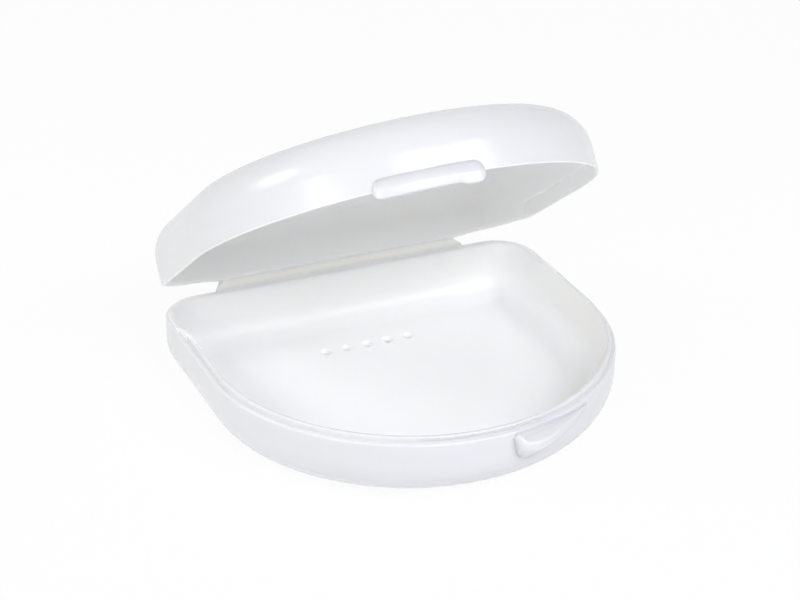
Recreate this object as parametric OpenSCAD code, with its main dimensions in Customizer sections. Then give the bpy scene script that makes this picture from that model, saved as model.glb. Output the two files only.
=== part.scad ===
// Clamshell box for a dental appliance, shown with its lid part open.
// Plan: a flat back that carries the hinge, straight sides and a round front.
// X runs along the hinge, the front faces -Y, and the box rests on z = 0.

/* [Outline] */
// Width across the sides
case_w = 80; // [76:0.5:90]
// Depth from the round front to the flat back
case_d = 71; // [67:0.5:78]
// Radius of the two corners beside the hinge, in plan
corner_r = 8.5; // [8:0.1:11]
// Half the distance between the centres of the two shoulder arcs
shoulder_x = 3.6; // [2:0.1:3.9]
// How much larger the front arc's radius is than the shoulders'
front_extra = 4.5; // [4:0.1:5.5]

/* [Shells] */
// Height of the tray up to its rim
base_h = 12.5; // [10.5:0.1:16]
// Height of the lid from its rim to its top
lid_h = 13.2; // [11.5:0.1:16]
// Wall thickness of the tray and of the lid
wall_t = 1.8; // [1.4:0.1:2.2]
// Thickness of the tray's floor and of the lid's top
floor_t = 1.6; // [1.2:0.1:2.4]
// Radius of the tray's outer bottom edge
base_edge_r = 8; // [4:0.1:8.4]
// Radius of the lid's outer top edge
lid_edge_r = 8.2; // [4:0.1:8.4]
// Radius of the hollow between floor and wall
hollow_r = 6; // [3:0.1:6.4]
// Rounding of the rims' outer edges
rim_r = 0.4; // [0.2:0.05:0.6]

/* [Closure] */
// Gap between the two rims when the box is shut
rim_gap = 0.2; // [0.1:0.05:0.3]
// Width of the flat ledge outside the tray's locating lip
ledge_w = 0.9; // [0.8:0.05:1.1]
// Height of the locating lip above the tray's rim
lip_h = 1.1; // [0.8:0.1:1.8]
// Sideways clearance between the lip and the lid's skirt
lip_clear = 0.3; // [0.2:0.05:0.4]
// Height of the lid's thin skirt, which drops over the lip
skirt_h = 3; // [2.4:0.1:4]
// Distance from the corner arcs to the lip's ends
lip_setback = 2.5; // [1.5:0.1:5]
// How far the snap ridge stands out of the lip
ridge_out = 0.2; // [0.1:0.05:0.2]
// Angle of the snap ridge about the front arc
ridge_angle = 44; // [30:1:60]

/* [Vents] */
// Number of vent holes in the floor
vent_count = 5; // [3:1:7]
// Diameter of a vent hole
vent_d = 1.5; // [1:0.1:2.5]
// Spacing of the vent holes
vent_pitch = 4.5; // [3.5:0.1:6]
// Distance from the outer back face to the row of vents
vent_back = 13.3; // [11:0.1:30]

/* [Hinge] */
// Width of the living hinge along the back
hinge_w = 51; // [40:0.5:56]
// Distance from the back face to the hinge axis
hinge_out = 2.4; // [1.6:0.1:3.2]
// Thickness of the two hinge flanges
flange_t = 1.2; // [0.8:0.1:1.8]
// How far the tray's flange widens at each end where it meets the wall
flange_flare = 2; // [0.5:0.1:3]
// Radius of the flexing web, which rolls about the hinge axis
web_r = 0.3; // [0.25:0.05:0.4]
// Clearance between the web and the lid's flange
web_clear = 0.05; // [0.05:0.01:0.1]
// Gap between the two flanges' edges, over the web, when the lid is fully open
fold_gap = 0.3; // [0.2:0.05:0.3]
// Angle by which the lid stands open in the shown pose
open_angle = 37.5; // [5:0.5:150]
// Height cut from the lid's rim at its two back corners
relief_h = 0.5; // [0.4:0.1:1.4]
// Length of that cut along the sides
relief_len = 9; // [8.5:0.5:16]

/* [Thumb tab on the lid] */
// Angle of the tab's left end about the front arc
tab_left_angle = -24.7; // [-30:0.1:-18]
// Angle of the tab's right end
tab_right_angle = 4.2; // [2:0.1:4.4]
// Height of the tab, half of it below the lid's rim
tab_h = 3.6; // [3:0.1:5]
// How far the tab stands out of the wall
tab_out = 1.5; // [1.1:0.1:2.2]
// Gap between the tab's lower half and the tray's wall
tab_gap = 0.3; // [0.2:0.05:0.5]
// Rounding of the tab's long edges
tab_round = 0.6; // [0.3:0.1:0.7]

/* [Thumb ledge on the tray] */
// Angle of the ledge's widest place about the front arc
ledge_mid_angle = 11; // [10.5:0.1:16]
// Angle of the ledge's blunt left end
ledge_left_angle = 5; // [4.9:0.1:7]
// How far the ledge stands out at its widest
ledge_out = 3.3; // [2.2:0.1:4]
// Radius of the ledge's edge in plan
ledge_r = 15; // [14:0.5:22]
// Drop from the tray's rim to the ledge's top
ledge_drop = 1.2; // [0.8:0.1:2]
// Thickness of the ledge at its edge
ledge_t = 1.8; // [1.2:0.1:2.6]
// Height of the sloping rib under the ledge
ledge_rib_h = 3.4; // [2:0.1:4.5]
// Radius of the ledge's blunt end in plan
ledge_end_r = 1.7; // [1.2:0.1:2]

/* [Hidden] */
$fn = 96;
white = "#eef0f4";
cream = "#e6e0cc";
seam = 0.1;
reach = 2 * max(case_w, case_d);

// Plan of the outline: corner arcs, shoulder arcs and one front arc, all tangent
back_y = case_d / 2;
shoulder_r = case_w / 2 - shoulder_x;
front_r = shoulder_r + front_extra;
front_y = front_r - case_d / 2;
shoulder_y = front_y - sqrt(front_extra ^ 2 - shoulder_x ^ 2);
corner_x = case_w / 2 - corner_r;
corner_y = back_y - corner_r;
side_len = corner_y - shoulder_y;

// Sectors that the front, shoulder and corner arcs fill, seen from the centre of each
tangent = reach / front_extra * [shoulder_x, shoulder_y - front_y];
front_sector = [[0, 0], [-tangent.x, tangent.y], tangent];
shoulder_sector = [[0, 0], tangent, [reach, 0]];
corner_sector = [[0, 0], [reach, 0], [reach, reach], [0, reach]];

// Fillets are limited by the corner arcs that they turn round
edge_limit = corner_r - seam;
tray_edge_r = min(base_edge_r, edge_limit);
cover_edge_r = min(lid_edge_r, edge_limit);
bowl_r = min(hollow_r, edge_limit - wall_t);
plate_in = max(tray_edge_r, wall_t + bowl_r);
cover_in = max(cover_edge_r, wall_t + bowl_r);

// Closure and hinge, with the lid in its shut place
skirt_t = ledge_w - lip_clear;
ridge_z = base_h + lip_h / 2;
lid_z = base_h + rim_gap;
top_z = lid_z + lid_h;
axis_y = back_y + hinge_out;
axis_z = base_h + rim_gap / 2;
flange_w = hinge_out - fold_gap / 2;
ledge_top = base_h - ledge_drop;

// One corner of a section that a rounding takes away; sx and sy point into the corner
module corner_waste(x, y, r, sx, sy) {
    translate([x, y])
    mirror([sx > 0 ? 1 : 0, 0])
    mirror([0, sy > 0 ? 1 : 0])
    difference() {
        translate([-seam, -seam])
        square([r + seam, r + seam]);
        translate([r, r])
        circle(r = r);
    }
}

// Section of a shell with its floor down: the outer face is at x = 0, the inside at negative x
module shell_section(height, edge, inset) {
    difference() {
        translate([-inset, 0])
        square([inset, height]);
        corner_waste(0, 0, edge, 1, -1);
        translate([-inset - seam, floor_t + bowl_r])
        square([inset + seam - wall_t, height]);
        translate([-inset - seam, floor_t])
        square([inset + seam - wall_t - bowl_r, height]);
        translate([-wall_t - bowl_r, floor_t + bowl_r])
        circle(r = bowl_r);
    }
}

module both_sides() {
    children();
    mirror([1, 0, 0])
    children();
}

// Sweeps a section along one arc of the outline
module arc_wall(x, y, r, sector) {
    translate([x, y, 0])
    intersection() {
        rotate_extrude()
        translate([r, 0])
        children();
        linear_extrude(height = reach)
        polygon(sector);
    }
}

// Sweeps a section round the whole outline
module around() {
    arc_wall(0, front_y, front_r, front_sector)
    children();
    translate([-corner_x, back_y, 0])
    rotate([0, 0, 90])
    rotate([90, 0, 0])
    linear_extrude(height = 2 * corner_x)
    children();
    both_sides() {
        arc_wall(shoulder_x, shoulder_y, shoulder_r, shoulder_sector)
        children();
        arc_wall(corner_x, corner_y, corner_r, corner_sector)
        children();
        translate([case_w / 2, corner_y, 0])
        rotate([90, 0, 0])
        linear_extrude(height = side_len)
        children();
    }
}

// Plan of one arc of a ring that lies between two insets from the outline
module arc_ring(x, y, r, sector, from, to) {
    translate([x, y])
    intersection() {
        difference() {
            circle(r = r - from);
            circle(r = r - to);
        }
        polygon(sector);
    }
}

// Plan of a ring that lies between two insets from the outline
module ring(from, to) {
    arc_ring(0, front_y, front_r, front_sector, from, to);
    translate([-corner_x, back_y - to])
    square([2 * corner_x, to - from]);
    both_sides() {
        arc_ring(shoulder_x, shoulder_y, shoulder_r, shoulder_sector, from, to);
        arc_ring(corner_x, corner_y, corner_r, corner_sector, from, to);
        translate([case_w / 2 - to, shoulder_y])
        square([to - from, side_len]);
    }
}

// Everything in plan that lies behind a line
module behind(y) {
    translate([-reach / 2, y])
    square([reach, reach]);
}

// The outline in plan, drawn in by a distance
module plan(inset) {
    translate([0, front_y])
    intersection() {
        circle(r = front_r - inset);
        polygon(front_sector);
    }
    translate([inset - case_w / 2, shoulder_y])
    square([case_w - 2 * inset, side_len]);
    translate([-corner_x, shoulder_y])
    square([2 * corner_x, side_len + corner_r - inset]);
    both_sides() {
        translate([shoulder_x, shoulder_y])
        intersection() {
            circle(r = shoulder_r - inset);
            polygon(shoulder_sector);
        }
        translate([corner_x, corner_y])
        circle(r = corner_r - inset);
    }
}

// A tray with its floor down; a child is cut from its section
module shell(height, edge, inset) {
    around()
    difference() {
        shell_section(height, edge, inset);
        children();
    }
    linear_extrude(height = floor_t)
    plan(inset);
}

// The wall's outer form at the front, which the ledge and the tab sit on
module front_core() {
    translate([0, front_y, 0])
    rotate_extrude()
    difference() {
        square([front_r, base_h]);
        corner_waste(front_r, 0, tray_edge_r, 1, -1);
    }
}

// Turns the lid and what is on it from shut to the shown pose
module opened() {
    translate([0, axis_y, axis_z])
    rotate([-open_angle, 0, 0])
    translate([0, -axis_y, -axis_z])
    children();
}

module base_tray() {
    color(white)
    difference() {
        shell(base_h, tray_edge_r, plate_in)
        corner_waste(0, base_h, rim_r, 1, 1);
        for (i = [0 : vent_count - 1])
            translate([(i - (vent_count - 1) / 2) * vent_pitch, back_y - vent_back, -seam])
            cylinder(d = vent_d, h = floor_t + 2 * seam);
    }
}

module base_locating_lip() {
    color(white)
    translate([0, 0, base_h])
    linear_extrude(height = lip_h)
    difference() {
        ring(ledge_w, wall_t);
        behind(corner_y - lip_setback);
    }
}

// Sweeps a section along a part of the front; angles count from its middle
module along_front(from, to, inset) {
    translate([0, front_y, 0])
    rotate([0, 0, from - 90])
    rotate_extrude(angle = to - from)
    translate([front_r - inset, 0])
    children();
}

// A slim half-round ridge on the lip's outer face, which holds the shut lid
module base_snap_ridge() {
    color(white)
    along_front(-ridge_angle / 2, ridge_angle / 2, ledge_w)
    intersection() {
        translate([0, ridge_z])
        circle(r = ridge_out);
        translate([0, base_h])
        square([ridge_out, lip_h]);
    }
}

module base_thumb_ledge() {
    mid_to_end = ledge_r - ledge_end_r;
    centre = front_r + ledge_out - ledge_r;
    color(white)
    difference() {
        translate([0, front_y, 0])
        rotate([0, 0, ledge_mid_angle - 90])
        translate([centre, 0, 0])
        intersection() {
            // Plan: the wide arc, ended at the left by a small arc that is tangent to it
            linear_extrude(height = ledge_top)
            union() {
                intersection() {
                    circle(r = ledge_r);
                    rotate([0, 0, ledge_swing()])
                    square([reach, reach]);
                }
                rotate([0, 0, ledge_swing()])
                translate([mid_to_end, 0])
                circle(r = ledge_end_r);
            }
            // Section: a flat top with a round edge, and a rib that slopes back to the wall
            rotate_extrude()
            difference() {
                polygon([[0, ledge_top - ledge_t - ledge_rib_h],
                         [ledge_r - ledge_out - seam, ledge_top - ledge_t - ledge_rib_h],
                         [ledge_r, ledge_top - ledge_t],
                         [ledge_r, ledge_top],
                         [0, ledge_top]]);
                corner_waste(ledge_r, ledge_top, tab_round, 1, 1);
            }
        }
        front_core();
    }
}

// Angle about the ledge's own centre at which its blunt end begins
function ledge_swing() =
    let (centre = front_r + ledge_out - ledge_r,
         a = ledge_left_angle + ledge_end_r / front_r * 180 / PI - ledge_mid_angle,
         r = front_r + ledge_out / 2)
    atan2(r * sin(a), r * cos(a) - centre);

module base_hinge_flange() {
    color(cream)
    difference() {
        translate([0, back_y, base_h - flange_t])
        linear_extrude(height = flange_t)
        polygon([[-hinge_w / 2 - flange_flare, 0],
                 [hinge_w / 2 + flange_flare, 0],
                 [hinge_w / 2, flange_w],
                 [-hinge_w / 2, flange_w]]);
        hinge_line(web_r);
    }
}

module hinge_line(r) {
    translate([-case_w / 2, axis_y, axis_z])
    rotate([0, 90, 0])
    cylinder(r = r, h = case_w);
}

module living_hinge() {
    color(cream)
    translate([-hinge_w / 2, axis_y, axis_z])
    rotate([0, 90, 0])
    cylinder(r = web_r, h = hinge_w);
}

module lid_hinge_flange() {
    color(cream)
    opened()
    difference() {
        translate([-hinge_w / 2, back_y, lid_z])
        cube([hinge_w, flange_w, flange_t]);
        hinge_line(web_r + web_clear);
    }
}

module lid_shell() {
    color(white)
    opened()
    translate([0, 0, top_z])
    mirror([0, 0, 1])
    difference() {
        shell(lid_h, cover_edge_r, cover_in);
        // The wall's lowest part is the skirt
        translate([-reach / 2, -reach / 2, lid_h - skirt_h])
        cube([reach, reach, 2 * skirt_h]);
    }
}

module lid_skirt() {
    color(white)
    opened()
    difference() {
        translate([0, 0, lid_z])
        linear_extrude(height = skirt_h)
        union() {
            ring(0, skirt_t);
            // The wall is thick at the back, where there is no lip
            intersection() {
                ring(skirt_t, wall_t);
                behind(corner_y);
            }
        }
        // The rim slopes up towards the hinge at both back corners
        both_sides()
        translate([hinge_w / 2, back_y - relief_len, lid_z])
        rotate([atan2(relief_h, relief_len), 0, 0])
        translate([0, 0, -relief_h])
        cube([reach, 2 * relief_len, relief_h]);
    }
}

module lid_thumb_tab() {
    middle = (tab_left_angle + tab_right_angle) / 2;
    half_w = front_r * sin((tab_right_angle - tab_left_angle) / 2);
    end_r = tab_h / 2 - seam;
    color(white)
    opened()
    translate([0, front_y, lid_z])
    intersection() {
        // Section: a plate with round long edges, whose lower half clears the tray's wall
        rotate_extrude()
        translate([front_r, 0])
        difference() {
            translate([0, -tab_h / 2])
            square([tab_out, tab_h]);
            corner_waste(tab_out, tab_h / 2, tab_round, 1, 1);
            corner_waste(tab_out, -tab_h / 2, tab_round, 1, -1);
            translate([-seam, -tab_h])
            square([tab_gap + seam, tab_h]);
        }
        // Face: a strip with round ends
        rotate([0, 0, middle])
        rotate([90, 0, 0])
        linear_extrude(height = front_r + 2 * tab_out)
        difference() {
            translate([-half_w, -tab_h / 2])
            square([2 * half_w, tab_h]);
            both_sides() {
                corner_waste(half_w, tab_h / 2, end_r, 1, 1);
                corner_waste(half_w, -tab_h / 2, end_r, 1, -1);
            }
        }
    }
}

base_tray();
base_locating_lip();
base_snap_ridge();
base_thumb_ledge();
base_hinge_flange();
living_hinge();
lid_hinge_flange();
lid_shell();
lid_skirt();
lid_thumb_tab();
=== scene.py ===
import math

import bmesh
import bpy
from mathutils import Matrix, Vector


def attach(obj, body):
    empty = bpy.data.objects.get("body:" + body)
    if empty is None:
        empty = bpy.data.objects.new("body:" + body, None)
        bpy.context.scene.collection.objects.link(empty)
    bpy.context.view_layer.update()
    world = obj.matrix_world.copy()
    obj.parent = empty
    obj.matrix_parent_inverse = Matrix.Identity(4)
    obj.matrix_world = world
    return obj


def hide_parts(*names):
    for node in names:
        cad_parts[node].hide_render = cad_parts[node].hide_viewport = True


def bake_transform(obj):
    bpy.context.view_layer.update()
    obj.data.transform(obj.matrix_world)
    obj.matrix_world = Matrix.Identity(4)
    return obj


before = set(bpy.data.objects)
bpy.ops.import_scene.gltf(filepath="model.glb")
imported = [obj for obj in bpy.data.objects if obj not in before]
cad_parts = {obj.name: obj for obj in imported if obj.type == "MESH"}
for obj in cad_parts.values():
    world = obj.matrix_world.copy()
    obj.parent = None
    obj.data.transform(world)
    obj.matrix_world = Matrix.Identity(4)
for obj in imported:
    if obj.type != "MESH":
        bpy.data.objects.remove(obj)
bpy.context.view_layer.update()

scene = bpy.context.scene
mm = 0.001


def srgb(text):
    # an sRGB hex value as the linear colour that a socket takes
    values = [int(text[i:i + 2], 16) / 255 for i in (1, 3, 5)]
    linear = [v / 12.92 if v <= 0.04045 else ((v + 0.055) / 1.055) ** 2.4 for v in values]
    return (*linear, 1.0)


def addNode(tree, kind, settings=None, links=None):
    node = tree.nodes.new(kind)
    for name, value in (settings or {}).items():
        if isinstance(name, int) or name in node.inputs:
            node.inputs[name].default_value = value
        else:
            setattr(node, name, value)
    for name, socket in (links or {}).items():
        tree.links.new(socket, node.inputs[name])
    return node


def smoothStep(value, start, end):
    t = min(max((value - start) / (end - start), 0.0), 1.0)
    return t * t * (3 - 2 * t)


def evenSteps(first, last, step):
    # even values from first to last, no further apart than step
    count = max(1, math.ceil(abs(last - first) / step))
    return [first + (last - first) * k / count for k in range(count + 1)]


def spread(first, last, count):
    return [Vector(first).lerp(Vector(last), k / count) for k in range(count + 1)]


def fillet(before, corner, after, radius, count):
    # points of the arc that rounds a corner; before and after only give the directions
    a = (Vector(before) - Vector(corner)).normalized()
    b = (Vector(after) - Vector(corner)).normalized()
    half = a.angle(b) / 2
    centre = Vector(corner) + (a + b).normalized() * radius / math.sin(half)
    start = Vector(corner) + a * radius / math.tan(half) - centre
    sweep = math.pi - 2 * half
    turn = -1 if a.x * b.y - a.y * b.x > 0 else 1
    points = []
    for k in range(count + 1):
        angle = turn * sweep * k / count
        c, s = math.cos(angle), math.sin(angle)
        points.append(centre + Vector((c * start.x - s * start.y, s * start.x + c * start.y)))
    return points


def gridFaces(bm, rings, innerFrom=None):
    # quads between neighbouring rings; from ring innerFrom on they take the second material
    for index, (near, far) in enumerate(zip(rings, rings[1:])):
        count = len(near)
        for i in range(count):
            j = (i + 1) % count
            face = bm.faces.new((near[i], near[j], far[j], far[i]))
            if innerFrom is not None and index >= innerFrom:
                face.material_index = 1


def closedBar(bm, rings):
    # a bar from a row of rings, with a flat cap at either end
    gridFaces(bm, rings)
    bm.faces.new(rings[0])
    bm.faces.new(rings[-1])


def ringEdges(bm, ring):
    edges = []
    for a, b in zip(ring, ring[1:] + ring[:1]):
        edges.append(bm.edges.get((a, b)) or bm.edges.new((a, b)))
    return edges


def fillPlate(bm, rings, index=0):
    # a flat plate between an outer ring and the rings of its holes
    edges = [edge for ring in rings for edge in ringEdges(bm, ring)]
    made = bmesh.ops.triangle_fill(bm, use_beauty=True, use_dissolve=False, edges=edges)
    for item in made["geom"]:
        if isinstance(item, bmesh.types.BMFace):
            item.material_index = index


def finishMesh(name, bm, materials, turn=None):
    # turn opens a piece that was made shut
    if turn:
        bmesh.ops.transform(bm, matrix=turn, verts=bm.verts)
    bmesh.ops.scale(bm, vec=(mm, mm, mm), verts=bm.verts)
    bmesh.ops.recalc_face_normals(bm, faces=bm.faces)
    mesh = bpy.data.meshes.new(name)
    bm.to_mesh(mesh)
    bm.free()
    for face in mesh.polygons:
        face.use_smooth = True
    piece = bpy.data.objects.new(name, mesh)
    scene.collection.objects.link(piece)
    for material in materials:
        mesh.materials.append(material)
    weighted = piece.modifiers.new("flatFacesStayFlat", "WEIGHTED_NORMAL")
    weighted.weight = 80       # over 50 the larger faces lead
    return piece


whitePlastic = {
    "colour": "#e1e3e7",
    "paleColour": "#e4e5e7",
    "colourPatch": 22.0,       # mm across one cloud of the faint colour change
    "roughness": 0.24,
    "roughnessSpread": 0.06,
    "sheenPatch": 8.8,         # mm across one patch of a little more or less gloss
    "flowLength": 9.0,         # mm from crest to crest of the skin's faint waviness
    "flowDepth": 0.012,        # mm
    "grain": 0.5,              # mm; real mould polish is finer, drawn this coarse to show
    "grainDepth": 0.0012,      # mm
    "refraction": 1.49,
    "milkiness": 0.5,          # share of the light that goes into the plastic
    "depthOfLight": 2.0,       # mm that it travels there
    "depthByColour": (1.0, 0.93, 0.82),
}


def mouldedPolypropylene(name, look):
    # Injection-moulded polypropylene from a polished mould: a milky white that lets a little
    # light in, so edges look soft, under a glossy skin that is very slightly wavy.
    material = bpy.data.materials.new(name)
    material.use_nodes = True
    tree = material.node_tree
    tree.nodes.clear()
    place = addNode(tree, "ShaderNodeTexCoord").outputs["Object"]
    clouds = addNode(tree, "ShaderNodeTexNoise",
                     {"Scale": 1 / (look["colourPatch"] * mm), "Detail": 2.0, "Roughness": 0.5},
                     {"Vector": place})
    tint = addNode(tree, "ShaderNodeMix",
                   {"data_type": "RGBA", 6: srgb(look["colour"]), 7: srgb(look["paleColour"])},
                   {0: clouds.outputs["Fac"]})
    sheen = addNode(tree, "ShaderNodeTexNoise",
                    {"Scale": 1 / (look["sheenPatch"] * mm), "Detail": 3.0}, {"Vector": place})
    rough = addNode(tree, "ShaderNodeMapRange",
                    {"To Min": look["roughness"] - look["roughnessSpread"] / 2,
                     "To Max": look["roughness"] + look["roughnessSpread"] / 2},
                    {"Value": sheen.outputs["Fac"]})
    flow = addNode(tree, "ShaderNodeTexNoise",
                   {"Scale": 1 / (look["flowLength"] * mm), "Detail": 1.0}, {"Vector": place})
    grain = addNode(tree, "ShaderNodeTexNoise",
                    {"Scale": 1 / (look["grain"] * mm), "Detail": 2.0}, {"Vector": place})
    wavy = addNode(tree, "ShaderNodeBump", {"Strength": 1.0, "Distance": look["flowDepth"] * mm},
                   {"Height": flow.outputs["Fac"]})
    skin = addNode(tree, "ShaderNodeBump", {"Strength": 1.0, "Distance": look["grainDepth"] * mm},
                   {"Height": grain.outputs["Fac"], "Normal": wavy.outputs["Normal"]})
    plastic = addNode(tree, "ShaderNodeBsdfPrincipled",
                      {"IOR": look["refraction"], "Subsurface Weight": look["milkiness"],
                       "Subsurface Radius": look["depthByColour"],
                       "Subsurface Scale": look["depthOfLight"] * mm},
                      {"Base Color": tint.outputs[2], "Roughness": rough.outputs["Result"],
                       "Normal": skin.outputs["Normal"]})
    addNode(tree, "ShaderNodeOutputMaterial", {}, {"Surface": plastic.outputs[0]})
    return material


# the insides' colour here is painted lighter than the outside's, as painted light
paintedLighterSatin = dict(whitePlastic, colour="#fafbfb", paleColour="#fcfcfb", roughness=0.34,
                    flowDepth=0.008, milkiness=0.6, depthOfLight=2.4)
thinPaintedLighter = dict(paintedLighterSatin, roughness=0.32, flowLength=2.5, flowDepth=0.01,
                   milkiness=0.3, depthOfLight=0.5)
# a painted glow: bright cream for the light that comes through the thin web
paintedGlowCream = dict(thinPaintedLighter, colour="#fffcf0", paleColour="#fffdf3")

whiteMoulded = mouldedPolypropylene("polypropylene_moulded_glossy", whitePlastic)
# the insides are less glossy, and their colour is painted lighter than the outside's as painted
# light, so that they look as bright as the outside though less light reaches them
paintedLighterSatinMoulded = mouldedPolypropylene("polypropylene_satin_painted_lighter", paintedLighterSatin)
# the flanges and the web are thinner, so less light is lost in them and they look crisper; they
# keep the insides' painted lighter colour, painted light where the lid shades them
thinPaintedLighterMoulded = mouldedPolypropylene("polypropylene_thin_painted_lighter", thinPaintedLighter)
# where the web bends, a bright cream is painted on as a painted glow, for the light that shines
# through the thin web
paintedGlowMoulded = mouldedPolypropylene("polypropylene_thin_painted_glow", paintedGlowCream)
print("materials made")


# the outline that tray and lid share
outline = {
    "width": 80.0,
    "depth": 71.0,
    "cornerRadius": 8.5,
    "shoulderX": 3.6,          # half the distance between the centres of the shoulder arcs
    "frontExtra": 4.5,         # the front arc's radius over the shoulders'
    "arcStep": 1.3,            # degrees between stations on the long arcs
    "cornerStep": 4.0,         # and on the back corners
    "sideStep": 1.25,          # mm between stations on the straight sides
    "closeReach": 4.0,         # the last mm of the sides have closer stations
    "closeStep": 0.25,
    "backStep": 2.5,           # mm between stations along the back
    "backStops": [27.6, 27.0, 26.0, 25.6, 25.4, 25.0, 24.0],  # x of more, at the hinge's ends
    "sameStation": 0.02,       # mm; stations closer than this are one
}
backY = outline["depth"] / 2
shoulderR = outline["width"] / 2 - outline["shoulderX"]
frontR = shoulderR + outline["frontExtra"]
frontY = frontR - outline["depth"] / 2
meetAngle = -math.degrees(math.acos(outline["shoulderX"] / outline["frontExtra"]))
shoulderY = frontY + outline["frontExtra"] * math.sin(math.radians(meetAngle))
cornerX = outline["width"] / 2 - outline["cornerRadius"]
cornerY = backY - outline["cornerRadius"]

# steps round the arcs of the sections
fineness = {
    "bigArc": 14,              # the outer edges and the hollows
    "smallArc": 4,             # the rims, the lip and the flanges
    "tinyArc": 3,
    "vent": 32,                # round a vent
}
inward = 9.0                   # an inset past every fillet, which only gives a direction


def outlineStations():
    # (point, outward normal) from the middle of the front round to that of the back,
    # and the same again mirrored
    right = []

    def arc(x, y, radius, first, last, step):
        for angle in evenSteps(first, last, step):
            n = Vector((math.cos(math.radians(angle)), math.sin(math.radians(angle))))
            right.append((Vector((x, y)) + radius * n, n))

    def side(first, last, step):
        for y in evenSteps(first, last, step):
            right.append((Vector((outline["width"] / 2, y)), Vector((1, 0))))

    arc(0, frontY, frontR, -90, meetAngle, outline["arcStep"])
    arc(outline["shoulderX"], shoulderY, shoulderR, meetAngle, 0, outline["arcStep"])
    side(shoulderY, cornerY, outline["sideStep"])
    side(cornerY - outline["closeReach"], cornerY, outline["closeStep"])
    arc(cornerX, cornerY, outline["cornerRadius"], 0, 90, outline["cornerStep"])
    stops = sorted(set([cornerX, 0.0] + outline["backStops"]), reverse=True)
    for near, far in zip(stops, stops[1:]):
        for x in evenSteps(near, far, outline["backStep"]):
            right.append((Vector((x, backY)), Vector((0, 1))))

    def order(station):
        point, normal = station
        onBack = normal.y > 0.999
        return math.degrees(math.atan2(normal.y, normal.x)), -point.x if onBack else point.y

    # one station at each place, in order round the outline
    clean = []
    for station in sorted(right, key=order):
        if not clean or (station[0] - clean[-1][0]).length > outline["sameStation"]:
            clean.append(station)
    left = [(Vector((-p.x, p.y)), Vector((-n.x, n.y))) for p, n in clean[-2:0:-1]]
    return clean + left


stations = outlineStations()
print("outline has", len(stations), "stations")


def loftShell(bm, sectionAt, innerFrom):
    # one ring of vertices for each point of the section, going round the outline;
    # a section's points are (inset from the outline, height)
    columns = []
    for point, normal in stations:
        section = sectionAt(point)
        columns.append([bm.verts.new((point.x - p.x * normal.x, point.y - p.x * normal.y, p.y))
                        for p in section])
    rings = [list(row) for row in zip(*columns)]
    gridFaces(bm, rings, innerFrom)
    return rings


tray = {
    "height": 12.5,
    "edgeRadius": 8.0,
    "wall": 1.8,
    "floor": 1.6,
    "hollowRadius": 6.0,
    "rimRadius": 0.4,
    "ledge": 0.9,              # flat ledge outside the locating lip
    "lipHeight": 1.1,
    "lipRadius": 0.3,
    "lipRoot": 0.15,
    "lipEnd": 25.5,            # the lip runs out at this y, before the back corners
    "lipRamp": 6.0,            # over this length
    "flatRows": (0.42, 0.5, 0.55, 0.75),  # insets that the lip's outer face keeps past its end
    "backRound": 1.0,          # the inner edge of the rim along the hinge
    "lighterFrom": 8.0,           # between these y the rim goes over to the insides' painted lighter plastic, painted light where the lid shades it
    "lighterTo": 25.0,
    "lighterSlack": 0.05,         # the lowest faces of the back's rounded edge count as rim too
    "ventCount": 5,
    "ventPitch": 4.5,
    "ventY": 22.2,
    "ventRadius": 0.75,
    "ventSink": 1.25,          # radius and depth of the sunk edge round each vent
    "ventSinkDepth": 0.65,
    "ventRound": 0.12,
}


def traySection(point):
    t = tray
    big, small, tiny = fineness["bigArc"], fineness["smallArc"], fineness["tinyArc"]
    h, w, top = t["height"], t["wall"], t["height"] + t["lipHeight"]
    outer = fillet((inward, 0), (0, 0), (0, h), t["edgeRadius"], big)
    rim = fillet((0, 0), (0, h), (1, h), t["rimRadius"], small)
    bowl = fillet((w, h), (w, t["floor"]), (inward, t["floor"]), t["hollowRadius"], big)
    withLip = (fillet((0, h), (t["ledge"], h), (t["ledge"], top), t["lipRoot"], tiny)
               + fillet((t["ledge"], h), (t["ledge"], top), (w, top), t["lipRadius"], small)
               + fillet((t["ledge"], top), (w, top), (w, 0), t["lipRadius"], small))
    a, b, c, d = t["flatRows"]
    plain = (spread((a, h), (b, h), tiny) + spread((c, h), (d, h), small)
             + fillet((0, h), (w, h), (w, 0), t["backRound"], small))
    share = 1 - smoothStep(point.y, t["lipEnd"] - t["lipRamp"], t["lipEnd"])
    return outer + rim + [q.lerp(p, share) for p, q in zip(withLip, plain)] + bowl


def ventSection():
    # from the sunk edge on the tray's floor down through the bore, as (radius, height)
    r, soft, wide = tray["ventRadius"], tray["ventRound"], tray["ventSink"]
    level, sunk = tray["floor"], tray["floor"] - tray["ventSinkDepth"]
    return (fillet((inward, level), (wide, level), (r, sunk), soft, fineness["tinyArc"])
            + fillet((wide, level), (r, sunk), (r, 0), soft, fineness["tinyArc"])
            + fillet((r, level), (r, 0), (inward, 0), soft, 2))


bm = bmesh.new()
# the insides' painted lighter plastic begins halfway round the lip's inner edge
beforeLip = fineness["bigArc"] + fineness["smallArc"] + 2
lipOuter = fineness["tinyArc"] + fineness["smallArc"] + 2
rings = loftShell(bm, traySection, beforeLip + lipOuter + fineness["smallArc"] // 2)
topRings, bottomRings = [rings[-1]], [rings[0]]
turns = [2 * math.pi * k / fineness["vent"] for k in range(fineness["vent"])]
for index in range(tray["ventCount"]):
    x, y = (index - (tray["ventCount"] - 1) / 2) * tray["ventPitch"], tray["ventY"]
    ventRings = [[bm.verts.new((x + p.x * math.cos(a), y + p.x * math.sin(a), p.y))
                  for a in turns] for p in ventSection()]
    gridFaces(bm, ventRings, 0)
    topRings.append(ventRings[0])
    bottomRings.append(ventRings[-1])
fillPlate(bm, topRings, 1)
fillPlate(bm, bottomRings)
rimLow = tray["height"] - tray["backRound"] - tray["lighterSlack"]
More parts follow.
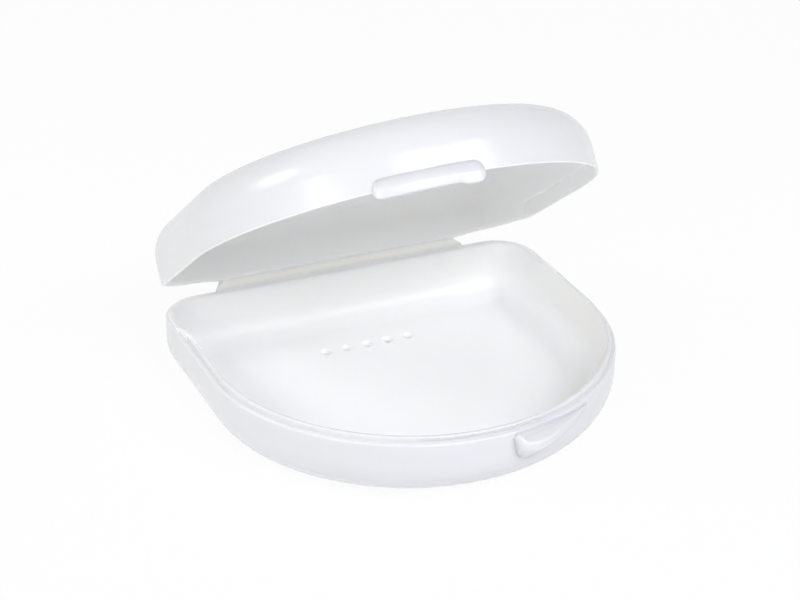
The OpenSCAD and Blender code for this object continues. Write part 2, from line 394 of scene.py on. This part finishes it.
for face in bm.faces:
    # the rim along the hinge is painted lighter with the insides' plastic, as painted light where
    # the lid shades it; towards the sides its share narrows
    middle = face.calc_center_median()
    past = Vector((max(abs(middle.x) - cornerX, 0), max(middle.y - cornerY, 0)))
    inset = outline["cornerRadius"] - past.length
    lighterShare = smoothStep(middle.y, tray["lighterFrom"], tray["lighterTo"])
    limit = tray["wall"] - (tray["wall"] - tray["rimRadius"]) * lighterShare
    if lighterShare > 0 and inset > limit and middle.z > rimLow:
        face.material_index = 1
trayPiece = finishMesh("Tray", bm, [whiteMoulded, paintedLighterSatinMoulded])
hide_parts("base_tray", "base_locating_lip")
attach(trayPiece, "base")
print("tray made")


# the lid is made shut and then opened
lid = {
    "rimZ": 12.7,
    "height": 13.2,
    "edgeRadius": 8.2,
    "skirtHeight": 3.0,
    "skirt": 0.6,
    "skirtRoot": 0.15,
    "rimRadius": 0.2,
    "stepRadius": 0.4,         # inner edge of the step where the skirt meets the wall
    "flatRows": (0.3, 0.45, 0.5, 0.7),  # insets that the skirt's rows take on the thick rim
    "backRound": 0.5,
    "thickFrom": 24.8,         # the skirt thickens between these two y, towards the hinge
    "thickTo": 27.4,
    "raise": 0.5,              # the rim rises softly at both back corners
    "raiseFromX": 25.3,
    "raiseToX": 31.5,
    "raiseFromY": 26.5,
    "raiseToY": 32.5,
    "axisY": 37.9,
    "axisZ": 12.6,
    "openAngle": 37.5,
}
axis = Vector((0, lid["axisY"], lid["axisZ"]))
opened = (Matrix.Translation(axis) @ Matrix.Rotation(-math.radians(lid["openAngle"]), 4, "X")
          @ Matrix.Translation(-axis))


def rimRaise(point):
    return (lid["raise"] * smoothStep(abs(point.x), lid["raiseFromX"], lid["raiseToX"])
            * smoothStep(point.y, lid["raiseFromY"], lid["raiseToY"]))


def lidSection(point):
    big, tiny = fineness["bigArc"], fineness["tinyArc"]
    z, top, w = lid["rimZ"], lid["rimZ"] + lid["height"], tray["wall"]
    step, s = z + lid["skirtHeight"], lid["skirt"]
    ceiling = top - tray["floor"]
    lifted = z + rimRaise(point)
    outer = fillet((inward, top), (0, top), (0, z), lid["edgeRadius"], big)
    edge = fillet((0, top), (0, lifted), (1, lifted), lid["rimRadius"], tiny)
    bowl = fillet((w, z), (w, ceiling), (inward, ceiling), tray["hollowRadius"], big)
    thin = (fillet((0, lifted), (s, lifted), (s, top), lid["rimRadius"], tiny)
            + fillet((s, z), (s, step), (w, step), lid["skirtRoot"], tiny)
            + fillet((s, step), (w, step), (w, top), lid["stepRadius"], tiny))
    a, b, c, d = lid["flatRows"]
    thick = (spread((a, lifted), (b, lifted), tiny) + spread((c, lifted), (d, lifted), tiny)
             + fillet((0, lifted), (w, lifted), (w, top), lid["backRound"], tiny))
    share = smoothStep(point.y, lid["thickFrom"], lid["thickTo"])
    return outer + edge + [p.lerp(q, share) for p, q in zip(thin, thick)] + bowl


bm = bmesh.new()
# the insides' painted lighter plastic begins at the rim's outer edge
rings = loftShell(bm, lidSection, fineness["bigArc"] + 1)
fillPlate(bm, [rings[0]])
fillPlate(bm, [rings[-1]], 1)
lidPiece = finishMesh("Lid", bm, [whiteMoulded, paintedLighterSatinMoulded], opened)
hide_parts("lid_shell", "lid_skirt")
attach(lidPiece, "lid")
print("lid made")


def onFront(angle, out, z):
    # a place on the front arc: degrees from its middle, mm outside it, height
    a = math.radians(angle - 90)
    r = frontR + out
    return (r * math.cos(a), frontY + r * math.sin(a), z)


# the thumb tab on the lid's rim
tab = {
    "left": -24.7,             # degrees about the front arc
    "right": 4.2,
    "up": 2.0,                 # mm above and below the lid's rim
    "down": 1.55,
    "hookDown": 0.5,           # the right end reaches this much lower
    "hookFrom": -3.0,
    "hookTo": -1.2,
    "out": 0.85,               # crest of the bead, before it is rounded
    "crestRadius": 2.6,
    "crestDrop": 0.48,         # the crest lies this share of the height below the top
    "lowOut": 0.66,
    "round": 0.36,
    "roundSteps": 6,
    "root": 0.5,               # fillet to the lid's wall
    "sunk": 0.3,               # it starts this far inside the wall
    "gap": 0.25,               # the lower half clears the tray's wall
    "backEdge": 0.3,           # height of the first face behind the lower edge
    "underRim": 0.02,          # its back stays this much below the lid's rim
    "endRadius": 1.8,
    "endTurns": range(8, 91, 6),  # degrees round each end where a section stands
    "sectionStep": 0.35,       # mm between the others
}

bm = bmesh.new()
perDegree = math.radians(1) * frontR
length = (tab["right"] - tab["left"]) * perDegree
step = tab["sectionStep"]
ends = [tab["endRadius"] * (1 - math.cos(math.radians(a))) for a in tab["endTurns"]]
between = evenSteps(ends[-1] + step, length - ends[-1] - step, step)
rings = []
for s in ends + between + [length - e for e in reversed(ends)]:
    # the section shrinks evenly towards both ends
    angle = tab["left"] + s / perDegree
    fromEnd = min(s, length - s)
    swell = math.sqrt(max(1 - max(1 - fromEnd / tab["endRadius"], 0) ** 2, 0))
    top = lid["rimZ"] + tab["up"] * swell
    low = lid["rimZ"] - swell * (tab["down"] + tab["hookDown"]
                                 * smoothStep(angle, tab["hookFrom"], tab["hookTo"]))
    out, lowOut, gap = tab["out"] * swell, tab["lowOut"] * swell, tab["gap"] * swell
    root, crest = tab["root"] * swell, top - tab["crestDrop"] * (top - low)
    back = lid["rimZ"] - tab["underRim"]
    loop = [Vector((-tab["sunk"], top + root))]
    loop += fillet((0, top + 1), (0, top), (out, crest), root, fineness["smallArc"])
    loop += fillet((0, top), (out, crest), (lowOut, low), tab["crestRadius"] * swell,
                   fineness["bigArc"])
    loop += fillet((out, crest), (lowOut, low), (gap, low), tab["round"] * swell,
                   tab["roundSteps"])
    loop += [Vector((gap, low)), Vector((gap, min(low + tab["backEdge"], back - 0.01))),
             Vector((gap, back)), Vector((-tab["sunk"], back))]
    rings.append([bm.verts.new(onFront(angle, p.x, p.y)) for p in loop])
closedBar(bm, rings)
tabPiece = finishMesh("ThumbTab", bm, [whiteMoulded], opened)
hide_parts("lid_thumb_tab")
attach(tabPiece, "lid")
print("thumb tab made")


# the thumb ledge under the tray's rim
thumbLedge = {
    "top": 11.3,
    "thick": 1.7,
    "thickFrom": 1.2,          # full thickness where it stands out this far
    "leastThick": 2.2,         # and never less than this many times the edge's rounding
    "rib": 3.4,                # the wall below swells down this far under its widest place
    "widest": 3.3,
    "drop": 0.05,              # and by this much everywhere
    "round": 0.4,
    "roundShare": 0.45,        # no rounding is more than this share of how far it stands out
    "crownShare": 0.6,
    "footRound": 0.5,
    "seat": 0.8,               # hollow between the wall and the ledge's top
    "seatShare": 0.35,
    "belowRim": 0.35,          # the hollow ends this far below the tray's rim
    "knob": 0.6,               # the blunt end stands this much above the ledge
    "knobWide": 1.7,           # where it stands out this far
    "knobFrom": 6.0,           # and falls to the ledge between these angles
    "knobTo": 6.6,
    "knobRound": 0.9,
    "knobRoundFrom": 5.6,
    "knobRoundTo": 7.4,
    "sunk": 0.8,               # it starts this far inside the wall
    "footSunk": 0.02,          # and its foot ends there
    "edgeSteps": 5,
    "fineStep": 0.12,          # degrees between sections up to fineTo
    "fineTo": 7.0,
    "step": 0.5,               # and after it
    # degrees about the front arc, and how far the edge stands out there
    "plan": [(4.0, 0.0), (4.4, 0.12), (4.75, 0.45), (5.05, 1.05), (5.45, 1.75), (6.2, 2.45),
             (7.6, 3.1), (9.3, 3.3), (11.0, 3.2), (13.6, 2.8), (16.1, 2.25), (20.7, 1.35),
             (25.5, 0.8), (28.5, 0.35), (31.0, 0.0)],
}


def planOut(angle):
    # a smooth curve through the plan's points
    pts = thumbLedge["plan"]
    for k in range(len(pts) - 1):
        if pts[k][0] <= angle <= pts[k + 1][0]:
            p0, p1, p2 = pts[max(k - 1, 0)], pts[k], pts[k + 1]
            p3 = pts[min(k + 2, len(pts) - 1)]
            t = (angle - p1[0]) / (p2[0] - p1[0])
            m1 = (p2[1] - p0[1]) / (p2[0] - p0[0]) * (p2[0] - p1[0])
            m2 = (p3[1] - p1[1]) / (p3[0] - p1[0]) * (p2[0] - p1[0])
            return ((2 * t ** 3 - 3 * t ** 2 + 1) * p1[1] + (t ** 3 - 2 * t ** 2 + t) * m1
                    + (3 * t ** 2 - 2 * t ** 3) * p2[1] + (t ** 3 - t ** 2) * m2)
    return 0.0


def ledgeSection(angle):
    # each radius is a hair more than its share of out, so that none is zero at the two ends
    t = thumbLedge
    out = max(planOut(angle), 0.0)
    knob = t["knob"] * (1 - smoothStep(angle, t["knobFrom"], t["knobTo"]))
    top = t["top"] + knob * min(out / t["knobWide"], 1.0)
    edge = min(t["round"], t["roundShare"] * out + 0.01)
    low = t["top"] - max(t["thick"] * min(1, out / t["thickFrom"]), t["leastThick"] * edge)
    foot = low - t["rib"] * min(out / t["widest"], 1.0) - t["drop"]
    soft = t["knobRound"] * (1 - smoothStep(angle, t["knobRoundFrom"], t["knobRoundTo"]))
    crown = min(edge + soft, t["crownShare"] * out + 0.005)
    seat = min(t["seat"], tray["height"] - t["belowRim"] - top, t["seatShare"] * out + 0.001)
    loop = [Vector((-t["sunk"], top + seat))]
    loop += fillet((0, top + 2), (0, top), (4, top), seat, t["edgeSteps"])
    loop += fillet((-1, top), (out, top), (out, low), crown, t["edgeSteps"])
    loop += fillet((out, top), (out, low), (-t["footSunk"], foot), min(t["footRound"], edge),
                   fineness["smallArc"])
    return loop + [Vector((-t["footSunk"], foot)), Vector((-t["sunk"], foot))]


bm = bmesh.new()
first, last = thumbLedge["plan"][0][0], thumbLedge["plan"][-1][0]
fine = evenSteps(first, thumbLedge["fineTo"], thumbLedge["fineStep"])
coarse = evenSteps(thumbLedge["fineTo"], last, thumbLedge["step"])
closedBar(bm, [[bm.verts.new(onFront(angle, p.x, p.y)) for p in ledgeSection(angle)]
               for angle in fine + coarse[1:]])
ledgePiece = finishMesh("ThumbLedge", bm, [whiteMoulded])
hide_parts("base_thumb_ledge")
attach(ledgePiece, "base")
print("thumb ledge made")


# the hinge: a flange on each half and the thin web that flexes between them
hinge = {
    "half": 25.5,
    "flare": 2.0,              # the tray's flange widens this much on each side at its root
    "flareCurve": 1.6,
    "thick": 1.2,
    "reach": 2.25,             # from the back wall to the flange's edge
    "embed": 0.9,              # it covers the rim's rounded outer edge
    "proud": 0.01,             # the flanges' facing sides lie this much over the rims
    "edge": 0.2,
    "webThick": 0.5,
    "webReach": 0.75,          # how far the web runs over each flange's edge
    "webTuck": 0.1,            # it runs this far outside the plane through the axis there
    "webBend": 0.95,           # and goes straight on for about this long before it turns
    "webShort": 0.02,          # its ends stay this far inside the flanges'
    "outerSteps": 16,          # along its outer face
    "innerSteps": 20,          # along its inner face
    "webFace": 2.45,           # the web's inner face fills the fold this far from the axis
    "webOverlap": 0.2,         # and goes into each flange by this share of the fold's angle
    "webFlare": 0.8,           # the inner face widens by this share of the tray flange's flare
    "flareFrom": 3,            # between these two of its points
    "flareTo": 16,
    "paintedGlowHalf": 0.35,         # half the width of the painted glow along the crease
    "paintedGlowDepth": 0.1,
    # places along the hinge, close together at the ends so that these look square
    "along": [-1.0, -0.998, -0.99] + [k / 20 for k in range(-19, 20)] + [0.99, 0.998, 1.0],
}


def flangeMesh(name, low, high, flare, turn=None):
    # a flat strip along the back wall, wider at its root by flare on each side
    bm = bmesh.new()
    y0, y1 = backY - hinge["embed"], backY + hinge["reach"]
    section = [Vector((y0, low)), Vector((y0, high))]
    section += fillet((y0, high), (y1, high), (y1, low), hinge["edge"], fineness["smallArc"])
    section += fillet((y1, high), (y1, low), (y0, low), hinge["edge"], fineness["smallArc"])
    rings = []
    for share in hinge["along"]:
        ring = []
        for p in section:
            fromEdge = 1 - min(max((p.x - backY) / hinge["reach"], 0), 1)
            halfLength = hinge["half"] + flare * fromEdge ** hinge["flareCurve"]
            ring.append(bm.verts.new((share * halfLength, p.x, p.y)))
        rings.append(ring)
    closedBar(bm, rings)
    return finishMesh(name, bm, [thinPaintedLighterMoulded], turn)


trayFlange = flangeMesh("TrayFlange", tray["height"] - hinge["thick"],
                        tray["height"] + hinge["proud"], hinge["flare"])
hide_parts("base_hinge_flange")
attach(trayFlange, "base")
lidFlange = flangeMesh("LidFlange", lid["rimZ"] - hinge["proud"],
                       lid["rimZ"] + hinge["thick"], 0.0, opened)
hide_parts("lid_hinge_flange")
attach(lidFlange, "lid")

# the web's outer face follows a curve from the tray's flange, behind the axis, to the lid's
bm = bmesh.new()
fold = math.radians(lid["openAngle"])
nearDirection = Vector((-1, 0))
farDirection = Vector((-math.cos(fold), math.sin(fold)))
farUp = Vector((math.sin(fold), math.cos(fold)))
centre = Vector((lid["axisY"], lid["axisZ"]))
start = (centre + nearDirection * hinge["webReach"]
         + Vector((0, -hinge["webTuck"] - hinge["webThick"] / 2)))
finish = (centre + farDirection * hinge["webReach"] + hinge["webTuck"] * farUp
          + hinge["webThick"] / 2 * farUp)
startPull = start - hinge["webBend"] * nearDirection
finishPull = finish - hinge["webBend"] * farDirection
path = []
for k in range(hinge["outerSteps"] + 1):
    t = k / hinge["outerSteps"]
    path.append((1 - t) ** 3 * start + 3 * t * (1 - t) ** 2 * startPull
                + 3 * t * t * (1 - t) * finishPull + t ** 3 * finish)
section = []
for k, point in enumerate(path):
    ahead = path[min(k + 1, hinge["outerSteps"])] - path[max(k - 1, 0)]
    outward = Vector((ahead.y, -ahead.x)).normalized()
    section.append(point + hinge["webThick"] / 2 * outward)
widen = [0.0] * len(section)
lapped, whole = 1 + hinge["webOverlap"], 1 + 2 * hinge["webOverlap"]
for k in range(hinge["innerSteps"] + 1):
    # the inner face is an arc from just inside the lid's flange to just inside the tray's,
    # where it widens with that flange
    angle = math.pi - fold * lapped + fold * whole * k / hinge["innerSteps"]
    section.append(centre + hinge["webFace"] * Vector((math.cos(angle), math.sin(angle))))
    widen.append(hinge["flare"] * hinge["webFlare"]
                 * smoothStep(k, hinge["flareFrom"], hinge["flareTo"]))
webHalf = hinge["half"] - hinge["webShort"]
closedBar(bm, [[bm.verts.new((share * (webHalf + more), p.x, p.y))
                for p, more in zip(section, widen)] for share in hinge["along"]])
creaseAt = centre + hinge["webFace"] * Vector((-math.cos(fold / 2), math.sin(fold / 2)))
# the painted glow goes on the crease and on the web's faces behind the axis
for face in bm.faces:
    middle = face.calc_center_median()
    place = Vector((middle.y, middle.z))
    onFace = (place - centre).length > hinge["webFace"] - hinge["paintedGlowDepth"]
    onCrease = onFace and (place - creaseAt).length < hinge["paintedGlowHalf"]
    if onCrease or middle.y > lid["axisY"]:
        face.material_index = 1
web = finishMesh("LivingHinge", bm, [thinPaintedLighterMoulded, paintedGlowMoulded])
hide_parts("living_hinge")
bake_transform(web)
print("hinge made")


# the slim ridge on the lip that holds the shut lid
snapRidge = {
    "angle": 22.0,             # degrees either side of the middle
    "step": 0.5,               # degrees between sections
    "runOut": 5.0,             # its ends fade into the lip over this many degrees
    "standOut": 0.12,
    "leastOut": 0.01,          # at the very ends
    "sunk": 0.3,               # it starts this far inside the lip
    "z": 13.05,
    "turns": range(-75, 76, 15),  # degrees round its half-round face
}

bm = bmesh.new()
lipFace = -tray["ledge"]
z = snapRidge["z"]
rings = []
for angle in evenSteps(-snapRidge["angle"], snapRidge["angle"], snapRidge["step"]):
    grown = smoothStep(snapRidge["angle"] - abs(angle), 0, snapRidge["runOut"])
    bulge = max(snapRidge["standOut"] * grown, snapRidge["leastOut"])
    loop = [Vector((lipFace - snapRidge["sunk"], z - bulge)), Vector((lipFace, z - bulge))]
    for a in (math.radians(turn) for turn in snapRidge["turns"]):
        loop.append(Vector((lipFace + bulge * math.cos(a), z + bulge * math.sin(a))))
    loop += [Vector((lipFace, z + bulge)), Vector((lipFace - snapRidge["sunk"], z + bulge))]
    rings.append([bm.verts.new(onFront(angle, p.x, p.y)) for p in loop])
closedBar(bm, rings)
# it takes the insides' painted lighter plastic, painted light that hides the shade under it
ridgePiece = finishMesh("SnapRidge", bm, [paintedLighterSatinMoulded])
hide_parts("base_snap_ridge")
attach(ridgePiece, "base")
print("snap ridge made")


studio = {
    "floorColour": "#f7f8fa",
    "floorSize": 6.0,          # m
    "floorGlow": 0.94,         # share of the floor that the camera sees as plain white
    "worldColour": "#fffefb",
    "leftLevel": 0.46,         # strength of the air's light from the left and from the right
    "rightLevel": 0.29,
    "lampAim": (0, 0, 15),     # mm
    "lampSize": 200,           # mm
    "lamps": [
        # name, place in mm, watts, colour
        ("frontSoftbox", (0, -438.4, 453.4), 1.3, "#ecf2ff"),
        ("rightSoftbox", (272.4, -389.1, 413.5), 0.94, "#fffcfa"),
        ("leftFill", (-486.6, -281, 277), 0.7, "#fff9f0"),
        ("leftRim", (-477.2, 173.7, 370.6), 0.77, "#ffffff"),
    ],
}


def seenDirectly(tree):
    # 1 for what the camera, a reflection or a clear body sees, 0 for light on surfaces
    path = addNode(tree, "ShaderNodeLightPath")
    some = addNode(tree, "ShaderNodeMath", {"operation": "MAXIMUM"},
                   {0: path.outputs["Is Camera Ray"], 1: path.outputs["Is Glossy Ray"]})
    return addNode(tree, "ShaderNodeMath", {"operation": "MAXIMUM"},
                   {0: some.outputs[0], 1: path.outputs["Is Transmission Ray"]}).outputs[0]


# the floor is matt paper that still takes the shadow, with plain white over it for the camera
floorMaterial = bpy.data.materials.new("paper_sweep_matt")
floorMaterial.use_nodes = True
tree = floorMaterial.node_tree
tree.nodes.clear()
paper = addNode(tree, "ShaderNodeBsdfDiffuse", {"Color": srgb(studio["floorColour"])})
white = addNode(tree, "ShaderNodeEmission", {"Color": (1, 1, 1, 1), "Strength": 1.0})
share = addNode(tree, "ShaderNodeMath", {"operation": "MULTIPLY", 1: studio["floorGlow"]},
                {0: seenDirectly(tree)})
mixed = addNode(tree, "ShaderNodeMixShader", {}, {0: share.outputs[0], 1: paper.outputs[0],
                                                  2: white.outputs[0]})
addNode(tree, "ShaderNodeOutputMaterial", {}, {"Surface": mixed.outputs[0]})

bm = bmesh.new()
reach = studio["floorSize"] / 2
corners = ((-1, -1), (1, -1), (1, 1), (-1, 1))
bm.faces.new([bm.verts.new((x * reach, y * reach, 0)) for x, y in corners])
mesh = bpy.data.meshes.new("Floor")
bm.to_mesh(mesh)
bm.free()
mesh.materials.append(floorMaterial)
floor = bpy.data.objects.new("Floor", mesh)
scene.collection.objects.link(floor)

world = bpy.data.worlds.new("studioAir")
scene.world = world
world.use_nodes = True
tree = world.node_tree
tree.nodes.clear()
around = addNode(tree, "ShaderNodeTexCoord").outputs["Generated"]
sideways = addNode(tree, "ShaderNodeSeparateXYZ", {}, {"Vector": around})
level = addNode(tree, "ShaderNodeMapRange",
                {"From Min": -1.0, "To Min": studio["leftLevel"], "To Max": studio["rightLevel"]},
                {"Value": sideways.outputs["X"]})
air = addNode(tree, "ShaderNodeBackground", {"Color": srgb(studio["worldColour"])},
              {"Strength": level.outputs["Result"]})
white = addNode(tree, "ShaderNodeBackground", {"Color": (1, 1, 1, 1), "Strength": 1.0})
mixed = addNode(tree, "ShaderNodeMixShader", {}, {0: seenDirectly(tree), 1: air.outputs[0],
                                                  2: white.outputs[0]})
addNode(tree, "ShaderNodeOutputWorld", {}, {"Surface": mixed.outputs[0]})

for name, place, watts, colour in studio["lamps"]:
    data = bpy.data.lights.new(name, "AREA")
    data.shape = "SQUARE"
    data.size = studio["lampSize"] * mm
    data.energy = watts
    data.color = srgb(colour)[:3]
    lamp = bpy.data.objects.new(name, data)
    lamp.location = Vector(place) * mm
    lamp.rotation_mode = "QUATERNION"
    aim = Vector(studio["lampAim"]) - Vector(place)
    lamp.rotation_quaternion = aim.to_track_quat("-Z", "Y")
    scene.collection.objects.link(lamp)

# the camera that was fitted to the photograph; eye in mm, lens and sensor in mm
photoView = {
    "eye": (-154.71, -322.94, 212.23),
    "right": (0.9095758, -0.4150840, 0.0194265),
    "up": (0.1789473, 0.4334643, 0.8832252),
    "back": (-0.3750333, -0.7998838, 0.4685467),
    "lens": 96.95,
    "sensor": 36.0,
    "clipStart": 0.01,         # m
    "clipEnd": 20,
}
data = bpy.data.cameras.new("photoCamera")
data.sensor_fit = "HORIZONTAL"
data.sensor_width = photoView["sensor"]
data.lens = photoView["lens"]
data.clip_start = photoView["clipStart"]
data.clip_end = photoView["clipEnd"]
camera = bpy.data.objects.new("photoCamera", data)
turn = Matrix((photoView["right"], photoView["up"], photoView["back"])).transposed().to_4x4()
camera.matrix_world = Matrix.Translation(Vector(photoView["eye"]) * mm) @ turn
scene.collection.objects.link(camera)
scene.camera = camera
scene.view_settings.view_transform = "Standard"
print("studio made")
